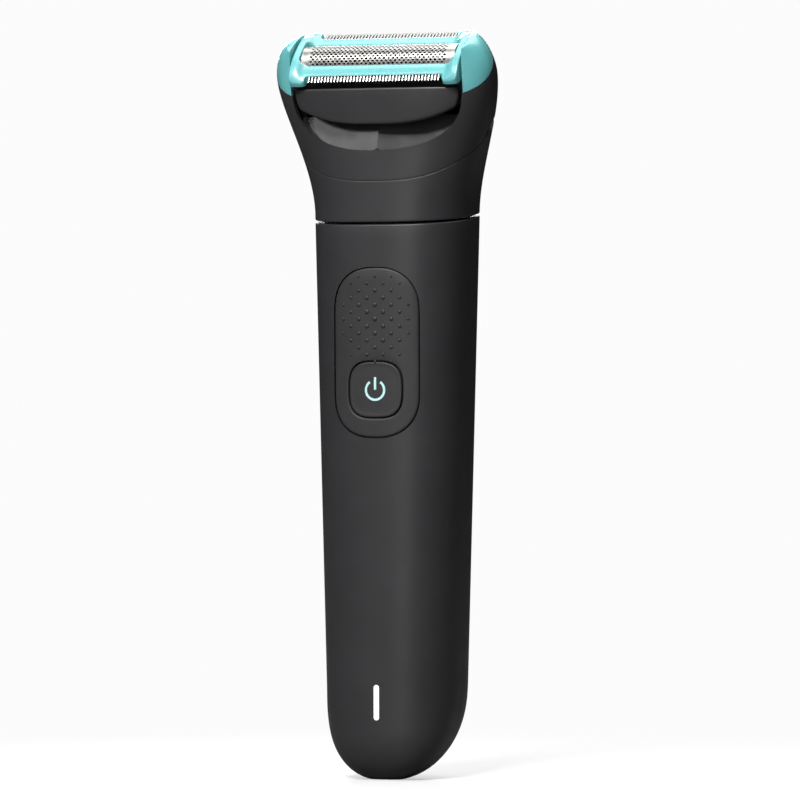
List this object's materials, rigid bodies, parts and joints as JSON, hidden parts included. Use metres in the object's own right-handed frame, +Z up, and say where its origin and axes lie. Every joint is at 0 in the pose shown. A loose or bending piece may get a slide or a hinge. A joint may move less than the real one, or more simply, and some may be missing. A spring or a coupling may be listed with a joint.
{
  "type": "body groomer",
  "caption": "Slim cordless body groomer: rounded black handle with thumb panel and power button, flared neck, and a tilted pivoting head with a curved foil between two fine trimming combs.",
  "frame": {"origin": "on the handle's long axis, at the level of the foot's lowest flat", "axes": "+Z up the handle towards the head, -Y the front with the button and the light, +X to the right of the handle seen from behind"},
  "size_m": [0.0534, 0.0336, 0.1743],
  "materials": {
    "charcoal_shell": "soft matte, fine grain",
    "panel_grey": "satin matte",
    "symbol_teal": "printed inlay",
    "grip_rubber": "ribbed rubber",
    "seal_rubber": "smooth silicone",
    "black_plastic": "moulded",
    "gloss_black": "gloss",
    "lens_white": "frosted, lit",
    "grey_nylon": "glass-filled nylon",
    "board_green": "solder mask",
    "switch_metal": "stamped",
    "cell_wrap": "shrink wrap",
    "nickel": "nickel strip",
    "motor_steel": "drawn can",
    "lead_wire": "insulated wire",
    "gold_contacts": "plated",
    "screw_steel": "zinc plated",
    "polished_steel": "ground",
    "white_acetal": "acetal",
    "spring_steel": "spring wire",
    "teal_gloss": "satin gloss",
    "foil_steel": "etched foil",
    "comb_steel": "stamped, rounded tips",
    "blade_steel": "ground"
  },
  "bodies": {
    "handle": {"handle_housing": "charcoal_shell", "front_panel": "panel_grey", "rear_grip": "grip_rubber", "button_seal": "seal_rubber", "indicator_lens": "lens_white", "chassis": "grey_nylon", "circuit_board": "board_green", "board_components": "black_plastic", "tact_switch": "switch_metal", "battery_cell": "cell_wrap", "battery_tabs": "nickel", "motor_can": "motor_steel", "motor_leads": "lead_wire", "charging_socket": "black_plastic", "contact_pins": "gold_contacts", "socket_gasket": "seal_rubber", "chassis_screws": "screw_steel", "handle_cap": "grey_nylon", "cap_seal": "seal_rubber", "shaft_seal": "seal_rubber"},
    "power_button": {"power_button": "panel_grey", "power_symbol": "symbol_teal"},
    "rotor": {"motor_shaft": "polished_steel", "eccentric": "white_acetal"},
    "attachment": {"neck_shell": "charcoal_shell", "neck_base": "grey_nylon", "detent_springs": "spring_steel", "rocker_bracket": "grey_nylon", "bracket_screws": "screw_steel", "rocker_pin": "polished_steel"},
    "rocker": {"drive_rocker": "white_acetal"},
    "head": {"head_shell": "charcoal_shell", "head_frame": "black_plastic", "chin_plate": "gloss_black", "left_end_cap": "teal_gloss", "right_end_cap": "teal_gloss", "pivot_pins": "polished_steel", "return_springs": "spring_steel"},
    "shaving_unit": {"cradle": "black_plastic", "front_apron": "charcoal_shell", "foil_frame": "teal_gloss", "shaving_foil": "foil_steel", "front_guard": "comb_steel", "rear_guard": "comb_steel", "guide_rods": "polished_steel"},
    "cutter_carriage": {"cutter_carriage": "white_acetal", "inner_cutter": "blade_steel", "cutter_springs": "spring_steel", "front_blade": "blade_steel", "rear_blade": "blade_steel"}
  },
  "joints": [
    {"name": "button_press", "type": "slide", "parent": "handle", "child": "power_button", "axis": [0, 1, 0], "range_m": [0, 0.0006]},
    {"name": "motor_spin", "type": "hinge", "parent": "handle", "child": "rotor", "pos_m": [0, 0.0015, 0.11], "axis": [0, 0, 1], "continuous": true},
    {"name": "attachment_release", "type": "slide", "parent": "handle", "child": "attachment", "axis": [0, 0, 1], "range_m": [0, 0.025]},
    {"name": "rocker_swing", "type": "hinge", "parent": "attachment", "child": "rocker", "pos_m": [0, 0.0015, 0.148], "axis": [0, 1, 0], "range_deg": [-4.5, 4.5]},
    {"name": "head_release", "type": "slide", "parent": "attachment", "child": "head", "axis": [0, -0.6428, 0.766], "range_m": [0, 0.02]},
    {"name": "head_pivot", "type": "hinge", "parent": "head", "child": "shaving_unit", "pos_m": [0, -0.00471, 0.16076], "axis": [1, 0, 0], "range_deg": [-6, 6]},
    {"name": "cutter_stroke", "type": "slide", "parent": "shaving_unit", "child": "cutter_carriage", "axis": [1, 0, 0], "range_m": [-0.001, 0.001]}
  ],
  "couplings": [
    {"joint": "rocker_swing", "follows": "cutter_stroke", "rad_per_m": 78.397}
  ]
}
